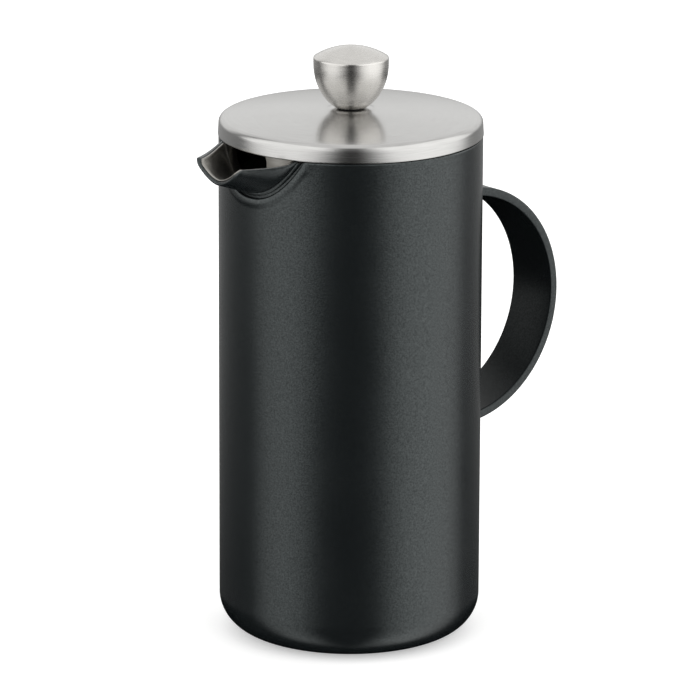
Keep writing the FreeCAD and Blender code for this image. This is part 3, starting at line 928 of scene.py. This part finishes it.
def bush_profile():
    """The sleeve from its bore's foot, up the thread, round the flange on the lid, and back to the bore."""
    flange = bush_high.z - 0.4 * MM
    profile = [(BUSH_BORE, bush_low.z + 0.2 * MM), (BUSH_BORE + 0.2 * MM, bush_low.z)]
    profile += [(BUSH_R - 0.3 * MM, bush_low.z), (BUSH_R - THREAD_DEPTH, bush_low.z + 0.3 * MM)]
    profile += thread(BUSH_R, bush_low.z + 0.5 * MM, nut_high.z, 1.25 * MM)
    profile += [(BUSH_R, nut_high.z + 0.2 * MM), (BUSH_R, flange), (bush_high.x - 0.05 * MM, flange)]
    profile += [(bush_high.x, flange + 0.06 * MM), (bush_high.x, bush_high.z - 0.15 * MM)]
    profile += [(bush_high.x - 0.12 * MM, bush_high.z), (BUSH_BORE + 0.2 * MM, bush_high.z)]
    return profile + [(BUSH_BORE, bush_high.z - 0.2 * MM)]


def ring_nut_mesh():
    """A ring with six notches for the key that tightens it."""
    turns = []
    for k in range(6):
        for x in (-7.6, -6, 0, 6, 7.6, 15, 22.5, 30, 37.5, 45):
            turns.append((radians(60 * k + x), abs(x) <= 6))
    low, high, outer, ease = nut_low.z, nut_high.z, nut_high.x, 0.3 * MM
    rows = [(BUSH_R, low + ease), (BUSH_R + ease, low), (outer - ease, low), (outer, low + ease)]
    rows += [(outer, high - ease), (outer - ease, high), (BUSH_R + ease, high), (BUSH_R, high - ease)]
    points = []
    for r, z in rows:
        for turn, notched in turns:
            reach = min(r, outer - 1.0 * MM) if notched else r
            points.append((reach * cos(turn), reach * sin(turn), z))
    return points, grid_faces(len(rows), len(turns), True, True)


finished("guide_bush", turned(bush_profile(), True, 72), NYLON, "bush", "bush_plastic", "rod_bush")
finished("bush_ring_nut", ring_nut_mesh(), NYLON, "bush", "bush_plastic", "bush_retainer")


# The plunger's rod: polished stainless bar, turned down to a threaded stud that carries the filter, and
# the hexagon fixed at its foot.

ROLLED = (1400, 200, 400)
ROD_STEEL = steel("polished_rod_steel", (0.62, 0.62, 0.62), (0.68, 0.68, 0.68), 0.12, (3, 3000))
FILTER_STEEL = steel("pressed_filter_steel", (0.50, 0.50, 0.49), (0.60, 0.60, 0.59), 0.26, ROLLED)
rod_low, rod_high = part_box("rod")
STUD_R = 2.0 * MM


def rod_profile():
    """The rod from its stud's tip, up the thread and the shoulder at the hexagon, to its top."""
    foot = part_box("rod_nut")[0].z
    profile = [(0, rod_low.z), (STUD_R - 0.4 * MM, rod_low.z), (STUD_R - THREAD_DEPTH, rod_low.z + 0.3 * MM)]
    profile += thread(STUD_R, rod_low.z + 0.4 * MM, foot - 0.5 * MM, 0.7 * MM)
    profile += [(STUD_R, foot - 0.3 * MM), (STUD_R, foot), (ROD_R - 0.2 * MM, foot), (ROD_R, foot + 0.2 * MM)]
    return profile + [(ROD_R, rod_high.z - 0.3 * MM), (ROD_R - 0.3 * MM, rod_high.z), (0, rod_high.z)]


CHAMFER_SLOPE = 0.577


def hexagon(node, bore):
    """A hexagon nut in a node's box, its corners chamfered top and bottom and its bore countersunk."""
    low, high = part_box(node)
    flat = high.y
    face, ease = flat * 0.95, 0.3 * MM
    turns = [radians(5 * k) for k in range(72)]
    corner = [flat / cos(turn % (pi / 3) - pi / 6) for turn in turns]
    fall = [(r - face) * CHAMFER_SLOPE for r in corner]
    plain = [0.0] * len(turns)

    def ring(radius, z):
        """A plain round row at that radius and height."""
        return [radius] * len(turns), z, plain

    rows = [ring(bore, low.z + ease), ring(bore + ease, low.z), ring(face, low.z), (corner, low.z, fall)]
    rows += [(corner, high.z, [-f for f in fall]), ring(face, high.z), ring(bore + ease, high.z)]
    rows.append(ring(bore, high.z - ease))
    points = []
    for radii, z, shift in rows:
        points += [(r * cos(turn), r * sin(turn), z + d) for r, turn, d in zip(radii, turns, shift)]
    return points, grid_faces(len(rows), len(turns), True, True)


finished("plunger_rod", turned(rod_profile(), False, 64), ROD_STEEL, "plunger", "rod_steel", "rod")
finished("rod_hexagon", hexagon("rod_nut", ROD_R), FILTER_STEEL, "plunger", "filter_steel", "rod_nut")
boss_mesh = hexagon("hub_nut", STUD_R + 0.05 * MM)
finished("filter_boss", boss_mesh, FILTER_STEEL, "filter", "filter_steel", "hub_nut")


# The perforated plate: stamped stainless steel with three rings of holes and a low lip that the coil
# sits against.

plate_low, plate_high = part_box("spring_plate")
PLATE_R = plate_high.x
PLATE_TOP = plate_low.z + SHEET
PLATE_LIP_R = 43.4 * MM
STUD_HOLE_R = 2.1 * MM
PLATE_HOLE_R = 2.1 * MM
HOLE_RINGS = ((13.0, 10), (22.5, 18), (32.0, 26))


def circle(centre_x, centre_y, radius, count):
    """Places round a circle."""
    steps = [2 * pi * k / count for k in range(count)]
    return [(centre_x + radius * cos(a), centre_y + radius * sin(a)) for a in steps]


def pierced(outline, holes, bottom, top):
    """A flat sheet inside an outline, with holes through it."""
    loops, flat = [], []
    for loop in (outline, *holes):
        loops.append(list(range(len(flat), len(flat) + len(loop))))
        flat += loop
    found = delaunay_2d_cdt([Vector(p) for p in flat], [], loops, 1, 1e-9, True)
    places = found[0]
    now = {old: new for new, olds in enumerate(found[3]) for old in olds}
    sheet = [face for face, owners in zip(found[2], found[5]) if list(owners) == [0]]
    count = len(places)
    points = [(p.x, p.y, bottom) for p in places] + [(p.x, p.y, top) for p in places]
    faces = [tuple(face) for face in sheet] + [tuple(count + i for i in reversed(face)) for face in sheet]
    for loop in loops:
        for first, second in zip(loop, loop[1:] + loop[:1]):
            faces.append((now[first], now[second], count + now[second], count + now[first]))
    return points, faces


def together(*meshes):
    """Several lots of vertices and faces as one."""
    points, faces = [], []
    for some, over in meshes:
        faces += [tuple(i + len(points) for i in face) for face in over]
        points += some
    return points, faces


def plate_mesh():
    """The pierced disc, with its lip standing on the rim."""
    holes = [circle(0, 0, STUD_HOLE_R, 32)]
    for ring, count in HOLE_RINGS:
        for k in range(count):
            a = 2 * pi * k / count
            holes.append(circle(ring * MM * cos(a), ring * MM * sin(a), PLATE_HOLE_R, 24))
    sheet = pierced(circle(0, 0, PLATE_R, 180), holes, plate_low.z, PLATE_TOP)
    lip, foot, high, ease = PLATE_LIP_R - SHEET, PLATE_TOP - 0.1 * MM, plate_high.z, 0.2 * MM
    ring = [(lip, foot), (PLATE_LIP_R, foot), (PLATE_LIP_R, high - ease), (PLATE_LIP_R - ease, high)]
    ring += [(lip + ease, high), (lip, high - ease)]
    return together(sheet, turned(ring))


finished("perforated_plate", plate_mesh(), FILTER_STEEL, "filter", "filter_steel", "spring_plate")


# The coil: fine spring wire wound in a close helix and closed to a ring round the plate's rim. It
# presses the mesh's edge out against the wall.

coil_low, coil_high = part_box("edge_coil")
COIL_TUBE_R = (coil_high.z - coil_low.z) / 2
COIL_RING_R = coil_high.x - COIL_TUBE_R
COIL_WIRE_R = 0.2 * MM
COIL_TURNS = 330


def coil_mesh():
    """The wire as a tube that winds round the ring and meets its own start."""
    per_turn, sides = 8, 5
    count = COIL_TURNS * per_turn
    centre = Vector((0, 0, (coil_low.z + coil_high.z) / 2))

    def on_helix(k):
        """The wire's middle, and the way out from the coil's own centre line."""
        around, wound = 2 * pi * k / count, 2 * pi * k / per_turn
        out = Vector((cos(around), sin(around), 0))
        outward = out * cos(wound) + Vector((0, 0, sin(wound)))
        return centre + out * COIL_RING_R + outward * (COIL_TUBE_R - COIL_WIRE_R), outward

    points = []
    for k in range(count):
        place, outward = on_helix(k)
        along = (on_helix(k + 0.5)[0] - on_helix(k - 0.5)[0]).normalized()
        across = along.cross(outward).normalized()
        for side in range(sides):
            a = 2 * pi * side / sides
            points.append(place + (outward * cos(a) + across * sin(a)) * COIL_WIRE_R)
    return points, grid_faces(count, sides, True, True)


finished("rim_coil", coil_mesh(), ROD_STEEL, "filter", "filter_steel", "edge_coil")


# The mesh: a disc of woven stainless wire with its rim turned up round the coil, and the pressed eyelet
# that binds its middle hole.

mesh_low, mesh_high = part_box("filter_mesh")
MESH_R = mesh_high.x
MESH_T = 0.4 * MM
EYELET_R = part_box("mesh_eyelet")[1].x
WEAVE = 320


def woven_steel():
    """Wires over and under one another, about a millimetre apart."""
    material, shader, place = new_material("woven_mesh_steel", 1.0, 0.30)
    total = None
    for axis in ("X", "Y", "Z"):
        wires = node_of(material, "ShaderNodeTexWave", Scale=WEAVE, Distortion=0.0)
        wires.bands_direction = axis
        wire(material, place, wires.inputs["Vector"])
        height = wires.outputs["Fac"]
        total = height if total is None else number_math(material, "ADD", total, height)
    weave = number_math(material, "MULTIPLY", total, 0.45)
    colour = blend_of(material, weave, (0.16, 0.16, 0.155), (0.58, 0.58, 0.57))
    wire(material, colour, shader.inputs["Base Color"])
    raise_by(material, shader, weave, 0.1 * MM, 0.7)
    return material


def mesh_profile():
    """The disc from inside the eyelet out to the rim, up and over it, and back inside."""
    low, high, floor_z = mesh_low.z, mesh_high.z, mesh_low.z + MESH_T
    inner, middle, ease = MESH_R - MESH_T, EYELET_R - 0.3 * MM, 0.1 * MM
    under = [(middle, low + 0.05 * MM), (MESH_R - 0.6 * MM, low), (MESH_R - 0.2 * MM, low + ease)]
    rim = [(MESH_R, low + 0.5 * MM), (MESH_R, high - ease), (MESH_R - ease, high), (inner + ease, high)]
    rim += [(inner, high - ease), (inner, floor_z + 0.3 * MM), (inner - 0.3 * MM, floor_z)]
    return under + rim + [(middle, floor_z - 0.05 * MM)]


def eyelet_profile():
    """The flattened ring that grips the mesh from both sides."""
    low, high = mesh_low.z, mesh_low.z + MESH_T
    return [(STUD_HOLE_R, low + 0.1 * MM), (STUD_HOLE_R + 0.1 * MM, low), (EYELET_R - 0.2 * MM, low),
            (EYELET_R, low + 0.15 * MM), (EYELET_R, high - 0.15 * MM), (EYELET_R - 0.2 * MM, high),
            (STUD_HOLE_R + 0.1 * MM, high), (STUD_HOLE_R, high - 0.1 * MM)]


WOVEN_STEEL = woven_steel()
finished("woven_disc", turned(mesh_profile(), True, 144), WOVEN_STEEL, "filter", "mesh_steel", "filter_mesh")
finished("eyelet", turned(eyelet_profile(), True, 64), FILTER_STEEL, "filter", "filter_steel", "mesh_eyelet")


# The cross plate: a stamped disc with a wheel of openings between its arms, which clamps the mesh from
# below.

cross_low, cross_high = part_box("cross_plate")
CROSS_R = cross_high.x
ARMS = 8
ARM_HALF = 3.0 * MM
SLOT_IN, SLOT_OUT = 11.0 * MM, 37.0 * MM


def eased(loop):
    """A loop with its corners cut, twice, so that they are round."""
    for _ in range(2):
        cut = []
        for (ax, ay), (bx, by) in zip(loop, loop[1:] + loop[:1]):
            cut += [(ax + (bx - ax) * go, ay + (by - ay) * go) for go in (0.25, 0.75)]
        loop = cut
    return loop


def slot_outline(turn):
    """One opening of the wheel: between two arms, from the hub to the rim."""
    step = 2 * pi / ARMS
    outline = []
    for radius, flip in ((SLOT_IN, False), (SLOT_OUT, True)):
        edge = asin(ARM_HALF / radius)
        count = 4 if radius == SLOT_IN else 10
        steps = [edge + (step - 2 * edge) * k / count for k in range(count + 1)]
        if flip:
            steps.reverse()
        outline += [(radius * cos(turn + a), radius * sin(turn + a)) for a in steps]
    return eased(outline)


cross_holes = [circle(0, 0, STUD_HOLE_R, 32)] + [slot_outline(2 * pi * k / ARMS) for k in range(ARMS)]
cross_mesh = pierced(circle(0, 0, CROSS_R, 144), cross_holes, cross_low.z, cross_high.z)
finished("cross_plate_stamping", cross_mesh, FILTER_STEEL, "filter", "filter_steel", "cross_plate")
